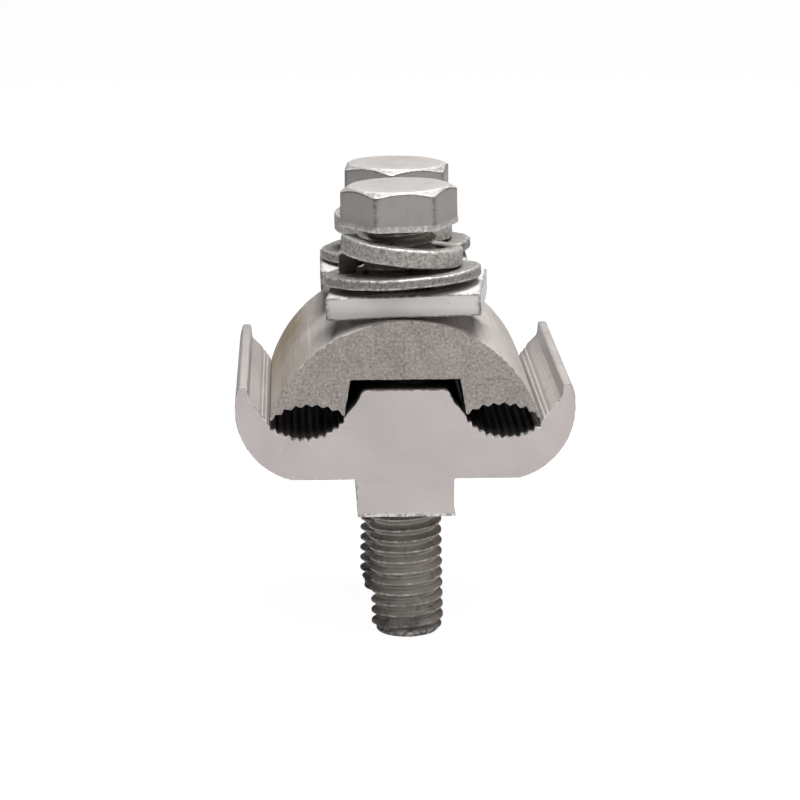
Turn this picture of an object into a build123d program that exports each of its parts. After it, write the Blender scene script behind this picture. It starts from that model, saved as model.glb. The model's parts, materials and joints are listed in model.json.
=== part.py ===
"""Two-bolt parallel groove clamp for overhead line conductors, with its bolts loosened.

Millimetres. The origin is midway between the two conductor grooves, halfway along the
keeper. X runs across the grooves, Y along the conductors and +Z towards the bolt heads.
"""
from build123d import *
from math import atan2, ceil, cos, hypot, pi, radians, sin, sqrt
import os

# Extrusions
keeper_length = 39.3          # sawn length of the keeper, along the conductors
keeper_setback = 0.1          # of the keeper's front end behind the lower body's
body_overhang = 2.3           # of the lower body's rear end past the keeper's
groove_spacing = 26.2         # between the centre lines of the two conductor grooves
groove_width = 9.9            # chord of each serrated groove

# Lower body profile
body_half_width = 22.6        # centre to the widest point of the outer wall
body_wide_z = 1.9             # height of the widest point
outer_wall_radius = 10.0      # round of the trough's outer lower wall
flange_z = -7.75              # underside of the flanges
boss_half_width = 6.48        # half width of the threaded boss under the flanges
boss_drop = 5.2               # depth of the boss below the flanges
boss_fillet = 0.5             # inner corner between boss and flange
ear_tip_z = 5.0               # top of the ears
ear_tip_inset = 0.55          # the ear tip's outer edge, in from the widest point
ear_tip_thickness = 1.1       # thickness of an ear at its tip
ear_root_thickness = 2.75     # thickness of an ear where its inner wall meets the ledge
ear_root_z = 1.05             # height of the ledge's outer end
ledge_rib_height = 0.22       # fine ribs that run along the ledge
ledge_ribs = 2
groove_rise = 0.85            # how much higher the groove's inner corner is than its outer one
lower_corner_z = -0.25        # height of the groove's outer corner on the lower body
lower_groove_depth = 2.2      # from the chord to the valley
lower_serrations = 11
lower_tooth = 0.42            # depth of the serrations of the lower grooves
pedestal_top_z = 4.35
pedestal_half_width = 6.0     # at the top of the pedestal
pedestal_corner = 0.9         # round of the pedestal's top corners
pedestal_flare_z = 3.0        # where the straight wall ends and the flare begins

# Keeper profile
crown_z = 13.65               # top of the keeper's round back
leg_half_width = 17.95        # centre to the outer end of a leg
leg_outer_z = 0.45            # underside of a leg at its outer end
channel_top_z = 5.8
channel_half_top = 7.3
channel_half_bottom = 8.1
keeper_corner_z = 1.0         # height of the keeper groove's inner corner
leg_toe = 0.35                # flat at each side of a leg's groove
keeper_groove_depth = 1.45
keeper_serrations = 7
keeper_tooth = 0.5

# Bolts
bolt_spacing = 21.6
thread_radius = 4.92          # of the crests, worn a little
thread_depth = 0.75           # from crest to root
thread_pitch = 1.5
thread_sides = 14             # the thread is drawn as rings with this many flats
thread_play = 0.3             # between the crests and the tapped hole's plain wall
keeper_hole_play = 0.58       # between the crests and the keeper's clearance holes
bolt_length = 56.3            # under the head
bolt_end_chamfer = 0.9
head_height = 5.4
head_across_flats = 14.0
head_chamfer_angle = 30.0     # slope of the conical chamfer on the head's top

# Loose hardware
plate_inset = 0.3             # of a plate's side edges inside the flat washer's rim
plate_depth = 18.0            # along the clamp
plate_thickness = 3.0
plate_edge_round = 0.25
plate_hole_play = 1.7         # between the crests and the plate's hole
flat_washer_spacing = 0.4     # between the rims of the two flat washers
flat_washer_thickness = 1.35
flat_washer_rim = 0.3         # bevel of the upper rim
flat_washer_play = 0.6        # between the crests and the flat washer's hole
spring_overhang = 0.217       # of the spring washer's rim past the head's corners
spring_section_width = 2.4
spring_section_height = 2.4
spring_rise = 2.9             # of the helix, from one cut end to the other
spring_cut_gap = 7.0          # degrees of the turn that the saw cut takes away
plate_gap = 0.27              # between the keeper's crown and a plate that rests on its burrs
seat_gap = 0.12               # between plate and flat washer, and between the two washers
loosened_gap = 0.8            # from the spring washer's upper end to the bolt head

# Tools
cut_margin = 2.0              # by which a cutting tool runs past what it cuts

# How each loose stack stands. Leans are in degrees about the Y axis (+ lifts the -X side),
# tilts about X (+ lifts the +Y side) and turns about Z; the rest are shifts in mm.
STACKS = {
    "front": dict(side=-1, hole_x=0.175, bolt_lean=-1.0, bolt_x=0.07, bolt_sink=0.05, head_turn=4.5,
                  plate_lean=-2.7, plate_turn=-6.2, plate_x=0.7, plate_y=1.0,
                  washer_lean=-3.5, washer_tilt=-3.0, washer_x=0.0, washer_y=0.3,
                  spring_lean=2.6, spring_x=-0.25, spring_y=-0.3, spring_turn=187.0),
    "rear": dict(side=1, hole_x=-0.38, bolt_lean=0.54, bolt_x=-0.33, bolt_sink=0.0, head_turn=22.0,
                 plate_lean=-2.6, plate_turn=-0.5, plate_x=-0.57, plate_y=-0.2,
                 washer_lean=-4.2, washer_tilt=-1.5, washer_x=-0.2, washer_y=0.2,
                 spring_lean=-0.5, spring_x=-0.55, spring_y=0.0, spring_turn=95.0),
}

# Sizes that follow from the ones above
body_length = keeper_setback + keeper_length + body_overhang
body_mid_y = (body_overhang - keeper_setback) / 2
tapped_radius = thread_radius + thread_play
keeper_hole_radius = thread_radius + keeper_hole_play
flat_washer_radius = (bolt_spacing - flat_washer_spacing) / 2
plate_width = 2 * (flat_washer_radius - plate_inset)
head_corner_radius = head_across_flats / sqrt(3)
spring_outer_radius = head_corner_radius + spring_overhang
boss_z = flange_z - boss_drop
groove_x = groove_spacing / 2
tapped_mid_z = (boss_z + pedestal_top_z) / 2


def arc_points(start, end, depth, count):
    """Points of the arc from start to end that bulges by depth to the left of that way."""
    chord_x, chord_z = end[0] - start[0], end[1] - start[1]
    chord = hypot(chord_x, chord_z)
    radius = (chord ** 2 / 4 + depth ** 2) / (2 * abs(depth))
    side = 1 if depth > 0 else -1
    normal = (-chord_z / chord * side, chord_x / chord * side)
    reach = radius - abs(depth)
    centre = ((start[0] + end[0]) / 2 - normal[0] * reach, (start[1] + end[1]) / 2 - normal[1] * reach)
    first = atan2(start[1] - centre[1], start[0] - centre[0])
    last = atan2(end[1] - centre[1], end[0] - centre[0])
    while last - first > pi:
        last -= 2 * pi
    while last - first < -pi:
        last += 2 * pi
    steps = [first + (last - first) * index / count for index in range(count + 1)]
    return [(centre[0] + radius * cos(a), centre[1] + radius * sin(a), a) for a in steps]


def serrated_arc(start, end, depth, teeth, tooth):
    """A groove wall from start to end: notches that bite tooth deep into the metal."""
    outward = 1
    points = []
    for index, (x, z, angle) in enumerate(arc_points(start, end, depth, 2 * teeth)):
        bite = tooth * outward if index % 2 == 1 else 0
        points.append((x + bite * cos(angle), z + bite * sin(angle)))
    return points


def mirrored(points):
    """The same points on the other side of the middle plane, in reverse order."""
    return [(-x, z) for x, z in reversed(points)]


def extrusion(profile, length):
    """The closed XZ profile, extruded along Y and centred on the origin."""
    wire = Plane.XZ * Polyline(*profile, close=True)
    return extrude(make_face(wire), amount=length / 2, both=True)


def ledge_points():
    """The ledge from the ear's root down to the groove, with its fine ribs."""
    top = (body_half_width - ear_root_thickness, ear_root_z)
    bottom = (groove_x + groove_width / 2, lower_corner_z)
    steps = 3 * ledge_ribs + 2
    points = []
    for index in range(steps + 1):
        share = index / steps
        rib = ledge_rib_height if index % 3 == 2 and index < steps else 0
        points.append((top[0] + (bottom[0] - top[0]) * share,
                       top[1] + (bottom[1] - top[1]) * share + rib))
    return points


def outer_wall_points():
    """The trough's outer wall, from the flange underside up to its widest point."""
    centre_x = body_half_width - outer_wall_radius
    lowest = -atan2(body_wide_z - flange_z, sqrt(outer_wall_radius ** 2 - (body_wide_z - flange_z) ** 2))
    count = 10
    angles = [lowest * (1 - index / count) for index in range(count + 1)]
    return [(centre_x + outer_wall_radius * cos(a), body_wide_z + outer_wall_radius * sin(a)) for a in angles]


def lower_body_half():
    """Right half of the lower body's profile, from the boss round to the pedestal's top."""
    inner_corner = (groove_x - groove_width / 2, lower_corner_z + groove_rise)
    outer_corner = (groove_x + groove_width / 2, lower_corner_z)
    tip_x = body_half_width - ear_tip_inset
    flare = [inner_corner,
             (inner_corner[0] - 0.65, inner_corner[1] + 0.85),
             (pedestal_half_width + 0.55, pedestal_flare_z - 0.4),
             (pedestal_half_width + 0.3, pedestal_flare_z)]
    corner = [(pedestal_half_width - pedestal_corner * (1 - sin(a)),
               pedestal_top_z - pedestal_corner * (1 - cos(a)))
              for a in (radians(90), radians(60), radians(30), 0)]
    return ([(boss_half_width, boss_z), (boss_half_width, flange_z - boss_fillet),
             (boss_half_width + boss_fillet, flange_z)]
            + outer_wall_points()
            + [(body_half_width - 0.1, (body_wide_z + ear_tip_z) / 2),
               (tip_x + 0.15, ear_tip_z - 0.35), (tip_x - 0.2, ear_tip_z),
               (tip_x - ear_tip_thickness + 0.25, ear_tip_z),
               (tip_x - ear_tip_thickness, ear_tip_z - 0.4),
               (body_half_width - ear_root_thickness + 0.4, ear_root_z + 1.1)]
            + ledge_points()[:-1]
            + serrated_arc(outer_corner, inner_corner, lower_groove_depth, lower_serrations, lower_tooth)[:-1]
            + flare + corner)


def lower_body():
    """The extruded trough with its ears, pedestal and boss, and the two tapped holes."""
    half = lower_body_half()
    body = Pos(0, body_mid_y, 0) * extrusion(half + mirrored(half), body_length)
    for stack in STACKS.values():
        body -= tapped_hole(stack)
    return body


def tapped_hole(stack):
    """The hole through pedestal, web and boss that one bolt screws into."""
    height = pedestal_top_z - boss_z + 2 * cut_margin
    place = Pos(stack["hole_x"], stack["side"] * bolt_spacing / 2, tapped_mid_z)
    return place * Cylinder(tapped_radius, height)


def crown_radius_and_centre():
    """Radius and centre height of the keeper's round back, through crown and leg ends."""
    rise = crown_z - leg_outer_z
    radius = (leg_half_width ** 2 + rise ** 2) / (2 * rise)
    return radius, crown_z - radius


def keeper_half():
    """Right half of the keeper's profile, from the crown round to the channel's top."""
    radius, centre_z = crown_radius_and_centre()
    last = atan2(leg_outer_z - centre_z, leg_half_width)
    count = 22
    angles = [pi / 2 + (last - pi / 2) * index / count for index in range(1, count + 1)]
    back = [(radius * cos(a), centre_z + radius * sin(a)) for a in angles]
    outer_corner = (leg_half_width - leg_toe, leg_outer_z - 0.05)
    inner_corner = (channel_half_bottom + leg_toe, keeper_corner_z)
    groove = serrated_arc(outer_corner, inner_corner, -keeper_groove_depth, keeper_serrations, keeper_tooth)
    return (back + groove + [(channel_half_bottom, keeper_corner_z - 0.05),
                             (channel_half_top, channel_top_z - 0.25),
                             (channel_half_top - 0.25, channel_top_z)])


def keeper():
    """The arch that clamps the conductors: round back, channel and two serrated legs."""
    half = keeper_half()
    body = extrusion([(0, crown_z)] + half + mirrored(half), keeper_length)
    for stack in STACKS.values():
        hole = Cylinder(keeper_hole_radius, 2 * crown_z)
        body -= Pos(0, stack["side"] * bolt_spacing / 2, crown_z) * hole
    return body


def tangent(degrees):
    """Rise per run of a slope in degrees."""
    return sin(radians(degrees)) / cos(radians(degrees))


def coil_corners(stack, face):
    """Corners (x, y, z) of the leant spring washer's bar, face -1 for its underside, 1 for its top."""
    lean = radians(stack["spring_lean"])
    turn = 360 - spring_cut_gap
    samples = 48
    corners = []
    for index in range(samples + 1):
        share = index / samples
        angle = radians(stack["spring_turn"] - spring_cut_gap / 2 - turn * share)
        level = spring_rise * (share - 0.5) + face * spring_section_height / 2
        for radius in (spring_outer_radius - spring_section_width, spring_outer_radius):
            across = radius * cos(angle)
            corners.append((across * cos(lean) + level * sin(lean) + stack["spring_x"],
                            radius * sin(angle) + stack["spring_y"],
                            level * cos(lean) - across * sin(lean)))
    return corners


def stack_heights(stack):
    """Middle heights of plate, flat washer and spring washer, and the head's underside."""
    plate_z = crown_z + plate_gap + plate_thickness / 2
    plate_top = plate_z + plate_thickness / 2
    washer_slope = tangent(stack["washer_lean"])
    washer_pitch = tangent(stack["washer_tilt"])
    slope = hypot(washer_slope - tangent(stack["plate_lean"]), washer_pitch)
    washer_z = plate_top + seat_gap + flat_washer_radius * slope + flat_washer_thickness / 2
    washer_top = washer_z + flat_washer_thickness / 2
    sink = min(z + (x - stack["washer_x"]) * washer_slope - (y - stack["washer_y"]) * washer_pitch
               for x, y, z in coil_corners(stack, -1))
    spring_z = washer_top + seat_gap - sink
    raised = max(z + x * tangent(stack["bolt_lean"]) for x, y, z in coil_corners(stack, 1))
    head_z = spring_z + raised + loosened_gap - stack["bolt_sink"]
    return plate_z, washer_z, spring_z, head_z


def placed(piece, stack, height, lean, x=0.0, y=0.0, turn=0.0, tilt=0.0):
    """A piece built about the origin, turned, tilted and leant, at its height on the bolt's line."""
    stance = Rot(0, lean, 0) * Rot(tilt, 0, 0) * Rot(0, 0, turn)
    return Pos(x, stack["side"] * bolt_spacing / 2 + y, height) * stance * piece


def pressure_plate(stack, height):
    """The flat plate, sheared square, that spreads the bolt's load over the keeper."""
    blank = Box(plate_width, plate_depth, plate_thickness)
    blank = fillet(blank.edges().filter_by(Axis.Z), plate_edge_round)
    hole = Cylinder(thread_radius + plate_hole_play, 2 * plate_thickness)
    return placed(blank - hole, stack, height, stack["plate_lean"],
                  stack["plate_x"], stack["plate_y"], stack["plate_turn"])


def flat_washer(stack, height):
    """A punched flat washer with one rim broken."""
    blank = Cylinder(flat_washer_radius, flat_washer_thickness)
    blank = chamfer(blank.edges().group_by(Axis.Z)[-1], flat_washer_rim)
    hole = Cylinder(thread_radius + flat_washer_play, 2 * flat_washer_thickness)
    return placed(blank - hole, stack, height, stack["washer_lean"], stack["washer_x"], stack["washer_y"],
                  tilt=stack["washer_tilt"])


def spring_washer(stack, height):
    """One left-hand turn of square bar, cut through, with its ends sprung apart."""
    middle = spring_outer_radius - spring_section_width / 2
    turn = 360 - spring_cut_gap
    path = Helix(pitch=spring_rise * 360 / turn, height=spring_rise, radius=middle, lefthand=True)
    section = Plane(origin=path @ 0, x_dir=(1, 0, 0), z_dir=path % 0)
    bar = sweep(section * Rectangle(spring_section_width, spring_section_height), path=path, is_frenet=True)
    coil = Pos(0, 0, -spring_rise / 2) * bar
    return placed(coil, stack, height, stack["spring_lean"], stack["spring_x"], stack["spring_y"],
                  stack["spring_turn"] - spring_cut_gap / 2)


def hexagon_head():
    """The forged head: a hexagon under a conical chamfer, standing on z = 0."""
    blank = extrude(RegularPolygon(head_corner_radius, 6), amount=head_height)
    top_radius = head_across_flats / 2 * 0.97
    slope = tangent(head_chamfer_angle)
    skirt = head_corner_radius + cut_margin
    cone = Polyline((0, -1), (skirt, -1), (skirt, head_height - (skirt - top_radius) * slope),
                    (top_radius, head_height), (0, head_height), close=True)
    return blank & revolve(make_face(Plane.XZ * cone), Axis.Z)


def ring_corners(radius, z):
    """Corners of one crest or root of the thread."""
    angles = [2 * pi * index / thread_sides for index in range(thread_sides)]
    return [Vector(radius * cos(a), radius * sin(a), z) for a in angles]


def threaded_shank():
    """The thread as flat-sided rings, crest after root, from z = 0 down to the chamfered end."""
    end_radius = thread_radius - bolt_end_chamfer
    levels = [(thread_radius, 0)]
    for turn in range(ceil(bolt_length / thread_pitch) - 1):
        for share, radius in ((0.5, thread_radius - thread_depth), (1.0, thread_radius)):
            down = (turn + share) * thread_pitch
            levels.append((min(radius, end_radius + bolt_length - down), -down))
    levels.append((end_radius, -bolt_length))
    rings = [ring_corners(radius, z) for radius, z in levels]
    flats = [Face(Wire.make_polygon([upper[index - 1], upper[index], lower[index], lower[index - 1]]))
             for upper, lower in zip(rings, rings[1:]) for index in range(thread_sides)]
    ends = [Face(Wire.make_polygon(ring)) for ring in (rings[0], rings[-1])]
    return Solid(Shell(flats + ends))


def bolt(stack, height):
    """A hexagon bolt threaded to its head, leaning in the play of its tapped hole."""
    piece = Rot(0, 0, stack["head_turn"]) * (hexagon_head() + threaded_shank())
    head_x = stack["bolt_x"] + (height - tapped_mid_z) * tangent(stack["bolt_lean"])
    return placed(piece, stack, height, stack["bolt_lean"], head_x)


def parts():
    """Every piece by its node name."""
    pieces = {"lower_body": lower_body(), "keeper": keeper()}
    for name, stack in STACKS.items():
        plate_z, washer_z, spring_z, head_z = stack_heights(stack)
        pieces[name + "_pressure_plate"] = pressure_plate(stack, plate_z)
        pieces[name + "_flat_washer"] = flat_washer(stack, washer_z)
        pieces[name + "_spring_washer"] = spring_washer(stack, spring_z)
        pieces[name + "_bolt"] = bolt(stack, head_z)
    return pieces


os.makedirs("parts", exist_ok=True)
for node, piece in parts().items():
    export_step(piece, f"parts/{node}.step")
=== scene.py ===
"""Visual model of a two-bolt parallel groove clamp: sawn aluminium extrusions, sheared plates,
galvanised washers and rolled-thread bolts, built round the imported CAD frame. Metres, +Z up."""
import json
from math import atan2, ceil, cos, hypot, pi, radians, sin, sqrt, tan

import bmesh
import bpy
from bpy.props import FloatProperty, FloatVectorProperty, IntProperty, PointerProperty
from mathutils import Matrix, Vector, noise
from mathutils.geometry import area_tri


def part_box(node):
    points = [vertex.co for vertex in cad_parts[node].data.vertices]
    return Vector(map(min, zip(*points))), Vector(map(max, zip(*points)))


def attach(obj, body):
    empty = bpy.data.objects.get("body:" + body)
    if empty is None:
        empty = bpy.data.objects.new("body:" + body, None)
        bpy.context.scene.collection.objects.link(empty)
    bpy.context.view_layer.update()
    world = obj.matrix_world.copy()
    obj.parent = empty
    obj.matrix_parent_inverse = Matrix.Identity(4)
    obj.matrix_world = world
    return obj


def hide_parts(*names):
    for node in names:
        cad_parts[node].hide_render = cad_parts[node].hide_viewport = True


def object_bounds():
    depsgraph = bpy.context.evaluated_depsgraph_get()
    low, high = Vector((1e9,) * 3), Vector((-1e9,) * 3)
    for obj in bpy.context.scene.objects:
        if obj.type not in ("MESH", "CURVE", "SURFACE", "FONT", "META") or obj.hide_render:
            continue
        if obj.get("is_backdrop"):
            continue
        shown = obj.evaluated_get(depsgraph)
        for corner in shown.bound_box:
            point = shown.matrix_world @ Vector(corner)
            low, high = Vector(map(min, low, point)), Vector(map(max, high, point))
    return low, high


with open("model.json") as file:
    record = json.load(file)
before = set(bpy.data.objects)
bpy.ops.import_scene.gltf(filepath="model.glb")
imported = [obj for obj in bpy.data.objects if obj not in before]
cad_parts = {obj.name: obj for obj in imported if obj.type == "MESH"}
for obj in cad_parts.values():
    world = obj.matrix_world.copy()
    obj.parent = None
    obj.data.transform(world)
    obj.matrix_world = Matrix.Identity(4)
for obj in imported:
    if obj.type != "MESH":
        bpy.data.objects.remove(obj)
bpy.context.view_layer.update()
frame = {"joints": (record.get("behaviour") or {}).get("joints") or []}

bl_info = {
    "name": "Parallel groove clamp",
    "version": (1, 0, 0),
    "blender": (4, 5, 0),
    "location": "View3D > Sidebar > Clamp",
    "description": "Builds a two-bolt parallel groove clamp with its bolts loosened",
    "category": "Object",
}

MM = 0.001
PER_MM = 1 / MM
CUT_MARGIN = 2 * MM
OUTLINE_STEP = 0.8 * MM


def length(label, hint, millimetres):
    """A size in metres whose default is given in millimetres."""
    return FloatProperty(name=label, description=hint, default=millimetres * MM, unit="LENGTH", precision=5)


def angle(label, hint, degrees):
    """An angle whose default is given in degrees."""
    return FloatProperty(name=label, description=hint, default=radians(degrees), unit="ROTATION")


def colour(label, hint, value):
    """A linear colour."""
    return FloatVectorProperty(name=label, description=hint, default=value, subtype="COLOR", min=0, max=1)


class TroughSettings(bpy.types.PropertyGroup):
    """Section of the lower body"""
    half_width: length("Half width", "Centre to the outer wall's widest point", 22.6)
    wide_z: length("Widest height", "Height of the widest point", 1.9)
    wall_radius: length("Outer radius", "Round of the lower outer wall", 10.0)
    flange_z: length("Flange underside", "Height of the flanges' underside", -7.75)
    boss_half: length("Boss half width", "Half width of the threaded boss", 6.48)
    boss_z: length("Boss underside", "Height of the boss's underside", -12.95)
    ear_tip_z: length("Ear height", "Height of the ears' tips", 5.0)
    ear_inset: length("Ear inset", "Ear tip in from the widest point", 0.55)
    ear_tip: length("Ear tip", "Thickness at the tip", 1.1)
    ear_root: length("Ear root", "Thickness at the ledge", 2.75)
    ear_fillet: length("Ear fillet", "Round between ear and ledge", 0.7)
    ledge_z: length("Ledge height", "Height of the ledge's outer end", 1.05)
    rib: length("Ledge rib", "Height of the ledge's fine ribs", 0.22)
    groove_x: length("Groove place", "Centre line of a conductor groove", 13.1)
    groove_width: length("Groove width", "Chord of the serrated groove", 9.9)
    corner_z: length("Groove corner", "Height of the groove's outer corner", -0.25)
    corner_rise: length("Corner rise", "How much higher the inner corner is", 0.85)
    depth: length("Groove depth", "From the chord to the valley", 2.2)
    tooth: length("Serration depth", "Bite of each serration", 0.44)
    teeth: IntProperty(name="Serrations", description="Notches across the groove", default=11, min=3)
    pedestal_z: length("Pedestal top", "Height of the pedestal", 4.35)
    pedestal_half: length("Pedestal half width", "Half width at its top", 6.0)
    pedestal_round: length("Pedestal corner", "Round of the pedestal's top corners", 0.9)
    boss_root: length("Boss root", "Round between boss and flange", 0.3)
    rim: length("Sawn rim", "Bevel round the sawn ends", 0.14)
    hole: length("Tapped hole", "Radius of the tapped holes", 5.32)


class KeeperSettings(bpy.types.PropertyGroup):
    """Section of the keeper"""
    crown_z: length("Crown", "Top of the round back", 13.65)
    leg_half: length("Leg half width", "Centre to the outer end of a leg", 17.95)
    leg_z: length("Leg end", "Underside of a leg at its outer end", 0.45)
    channel_z: length("Channel top", "Height of the channel's roof", 5.8)
    channel_top: length("Channel half width at top", "Half width under the roof", 7.3)
    channel_bottom: length("Channel half width at bottom", "Half width at the mouth", 8.1)
    corner_z: length("Groove corner", "Height of the groove's inner corner", 1.0)
    toe: length("Leg toe", "Flat beside a leg's groove", 0.35)
    depth: length("Groove depth", "From the chord to the roof", 1.45)
    tooth: length("Serration depth", "Bite of each serration", 0.5)
    teeth: IntProperty(name="Serrations", description="Notches across the groove", default=7, min=3)
    rim: length("Sawn rim", "Bevel round the sawn ends", 0.09)
    hole: length("Clearance hole", "Radius of the holes for the bolts", 5.5)


class HardwareSettings(bpy.types.PropertyGroup):
    """Plates, washers and bolts"""
    plate_width: length("Plate width", "Across the clamp", 20.6)
    plate_depth: length("Plate depth", "Along the clamp", 18.0)
    plate_thickness: length("Plate thickness", "Thickness of the sheared bar", 3.0)
    plate_round: length("Plate edge", "Round of the sheared edges", 0.22)
    plate_hole: length("Plate hole", "Radius of the plate's hole", 6.6)
    washer_radius: length("Flat washer radius", "Outer radius", 10.55)
    washer_hole: length("Flat washer hole", "Inner radius", 5.52)
    washer_thickness: length("Flat washer thickness", "Thickness", 1.35)
    washer_round: length("Flat washer edge", "Round of the punched edges", 0.3)
    spring_radius: length("Spring washer radius", "Outer radius", 8.3)
    spring_width: length("Spring bar width", "Radial width of the bar", 2.4)
    spring_height: length("Spring bar height", "Height of the bar", 2.4)
    spring_round: length("Spring bar corner", "Round of the bar's corners", 0.32)
    spring_rise: length("Spring rise", "Rise from one cut end to the other", 2.9)
    spring_cut: angle("Spring cut", "Part of the turn taken by the saw cut", 7.0)
    thread_crest: length("Thread crest", "Crest radius of the thread", 4.92)
    thread_root: length("Thread root", "Root radius of the thread", 4.12)
    thread_pitch: length("Thread pitch", "Pitch of the thread", 1.5)
    bolt_length: length("Bolt length", "Under the head", 56.3)
    head_flats: length("Across flats", "Across flats of the head", 14.0)
    head_height: length("Head height", "Height of the head", 5.4)
    head_chamfer: angle("Head chamfer", "Slope of the conical chamfer", 30.0)
    head_round: length("Head corner", "Wear of the hexagon's corners", 0.22)


class FinishSettings(bpy.types.PropertyGroup):
    """Base colours of the finishes"""
    sawn: colour("Sawn aluminium", "Sawn end faces of the lower body", (0.56, 0.514, 0.499))
    skin: colour("Extruded skin", "Extruded surfaces", (0.35, 0.326, 0.316))
    broken: colour("Keeper face", "Rough end faces of the keeper", (0.37, 0.33, 0.305))
    keeper_skin: colour("Keeper skin", "Round back of the keeper", (0.43, 0.395, 0.37))
    stain: colour("Stain", "Dried brownish stain on the keeper", (0.29, 0.235, 0.155))
    plate: colour("Plate", "Sheared plates", (0.66, 0.635, 0.62))
    zinc: colour("Zinc", "Hot-dip zinc of the washers", (0.40, 0.385, 0.36))
    zinc_dark: colour("Dull zinc", "Oxidised patches in the zinc", (0.20, 0.19, 0.175))
    bolt: colour("Bolt zinc", "Smooth zinc of the bolt heads", (0.455, 0.428, 0.41))
    thread: colour("Thread", "Greyed zinc of the thread", (0.325, 0.297, 0.269))
    # This colour is also used as painted shade in the grooves, along the plates' edges, on the spring
    # washers' cut ends and in the head's dark lines.
    grime_and_shade: colour("Grime", "Dirt in roots and corners", (0.055, 0.05, 0.045))


class StageSettings(bpy.types.PropertyGroup):
    """Camera, lamps and floor"""
    eye: FloatVectorProperty(name="Eye", description="Camera place", size=3, unit="LENGTH",
                             default=(-0.0143, -0.4064, 0.0926))
    yaw: angle("Yaw", "Turn of the view to the right", 2.01)
    pitch: angle("Pitch", "Tilt of the view down", 13.03)
    roll: angle("Roll", "Roll of the camera", -0.16)
    lens: FloatProperty(name="Lens", description="Focal length in mm on a 36 mm sensor", default=135.0)
    floor_gap: length("Floor gap", "Floor below the bolt ends", 0.2)


class ClampSettings(bpy.types.PropertyGroup):
    """All settings of the clamp"""
    trough: PointerProperty(type=TroughSettings)
    keeper: PointerProperty(type=KeeperSettings)
    hardware: PointerProperty(type=HardwareSettings)
    finish: PointerProperty(type=FinishSettings)
    stage: PointerProperty(type=StageSettings)


# How each loose stack stands, as the CAD has it: leans about Y, tilts about X and turns about Z.
# The bolt's end is in mm: its radius and how far it runs without a crest. Each "uneven" is the
# largest shift in mm and the waves per mm of the small unevenness of one piece.
STACKS = {
    "front": dict(plate_lean=-2.7, plate_turn=-6.2, washer_lean=-3.5, washer_tilt=-3.0, spring_lean=2.6,
                  spring_turn=187.0, head_turn=4.5, thread_turn=50.0, end_radius=4.05, end_plain=0.0,
                  plate_uneven=(0.07, 0.22), washer_uneven=(0.09, 0.30), spring_uneven=(0.07, 0.55),
                  bolt_uneven=(0.03, 0.6)),
    "rear": dict(plate_lean=-2.6, plate_turn=-0.5, washer_lean=-4.2, washer_tilt=-1.5, spring_lean=-0.5,
                 spring_turn=95.0, head_turn=22.0, thread_turn=67.0, end_radius=4.3, end_plain=1.1,
                 plate_uneven=(0.07, 0.19), washer_uneven=(0.09, 0.36), spring_uneven=(0.07, 0.48),
                 bolt_uneven=(0.03, 0.5)),
}
TROUGH_UNEVEN = (0.035, 0.8)
KEEPER_UNEVEN = (0.04, 1.1)
UNEVEN_SEED = 7

# Colours of rubbed, bare metal, which also carry painted highlights on rims and crests; then a painted glint
# for the grooves' lips, painted glints for the keeper's torn ends, and the dark of scratches
BARE_ALUMINIUM = (0.86, 0.83, 0.81)
DULL_BARE = (0.80, 0.77, 0.74)
BARE_ZINC = (0.80, 0.78, 0.76)
BARE_STEEL = (0.80, 0.76, 0.73)
# Painted glint on the grooves' outer lip
LIP_GLINT = (0.95, 0.93, 0.91)
SPARKLE = (0.72, 0.69, 0.66)
SCRATCH = (0.20, 0.18, 0.165)

SENSOR_WIDTH = 36.0
FLOOR_HALF = 4.0

# Soft boxes: place, aim, width, height and power
LAMPS = {
    "top_box": ((0.04, 0.05, 0.44), (0, 0, 0.01), 0.28, 0.36, 4.2),
    "left_box": ((-0.42, -0.16, 0.24), (0, 0, 0), 0.22, 0.26, 0.04),
    "right_box": ((0.42, -0.10, 0.26), (0, 0, 0), 0.22, 0.26, 0.20),
    "front_box": ((0.08, -0.36, 0.42), (0, 0, 0), 0.30, 0.24, 1.56),
}


# ---------------------------------------------------------------- shader maths

class Field:
    """A shader value: Python operators on it add Math or Vector Math nodes."""

    def __init__(self, tree, socket):
        self.tree = tree
        self.socket = socket

    def is_number(self):
        """True when the socket carries one number."""
        return self.socket.type == "VALUE"

    def combine(self, operation, first, second):
        """The result of one Math or Vector Math node."""
        scalar = all(not isinstance(value, Field) or value.is_number() for value in (first, second))
        scalar = scalar and all(not isinstance(value, (tuple, Vector)) for value in (first, second))
        if scalar:
            return node(self.tree, "ShaderNodeMath", {"operation": operation}, {0: first, 1: second})
        values = [(value,) * 3 if isinstance(value, (int, float)) else value for value in (first, second)]
        return node(self.tree, "ShaderNodeVectorMath", {"operation": operation}, {0: values[0], 1: values[1]})

    def __add__(self, other):
        return self.combine("ADD", self, other)

    def __radd__(self, other):
        return self.combine("ADD", other, self)

    def __sub__(self, other):
        return self.combine("SUBTRACT", self, other)

    def __rsub__(self, other):
        return self.combine("SUBTRACT", other, self)

    def __mul__(self, other):
        return self.combine("MULTIPLY", self, other)

    def __rmul__(self, other):
        return self.combine("MULTIPLY", other, self)

    def __abs__(self):
        return node(self.tree, "ShaderNodeMath", {"operation": "ABSOLUTE"}, {0: self})


def node(tree, kind, settings=None, inputs=None, output=0):
    """Adds a node: settings first, then values or links of its sockets; gives one output."""
    made = tree.nodes.new(kind)
    for key, value in (settings or {}).items():
        setattr(made, key, value)
    for key, value in (inputs or {}).items():
        socket = made.inputs[key]
        if isinstance(value, Field):
            tree.links.new(value.socket, socket)
        elif isinstance(value, tuple) and socket.type == "RGBA":
            socket.default_value = (*value, 1) if len(value) == 3 else value
        else:
            socket.default_value = value
    return Field(tree, made.outputs[output]) if made.outputs else None


def empty_tree(owner):
    """The emptied node tree of a material or a world."""
    owner.use_nodes = True
    owner.node_tree.nodes.clear()
    return owner.node_tree


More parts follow.
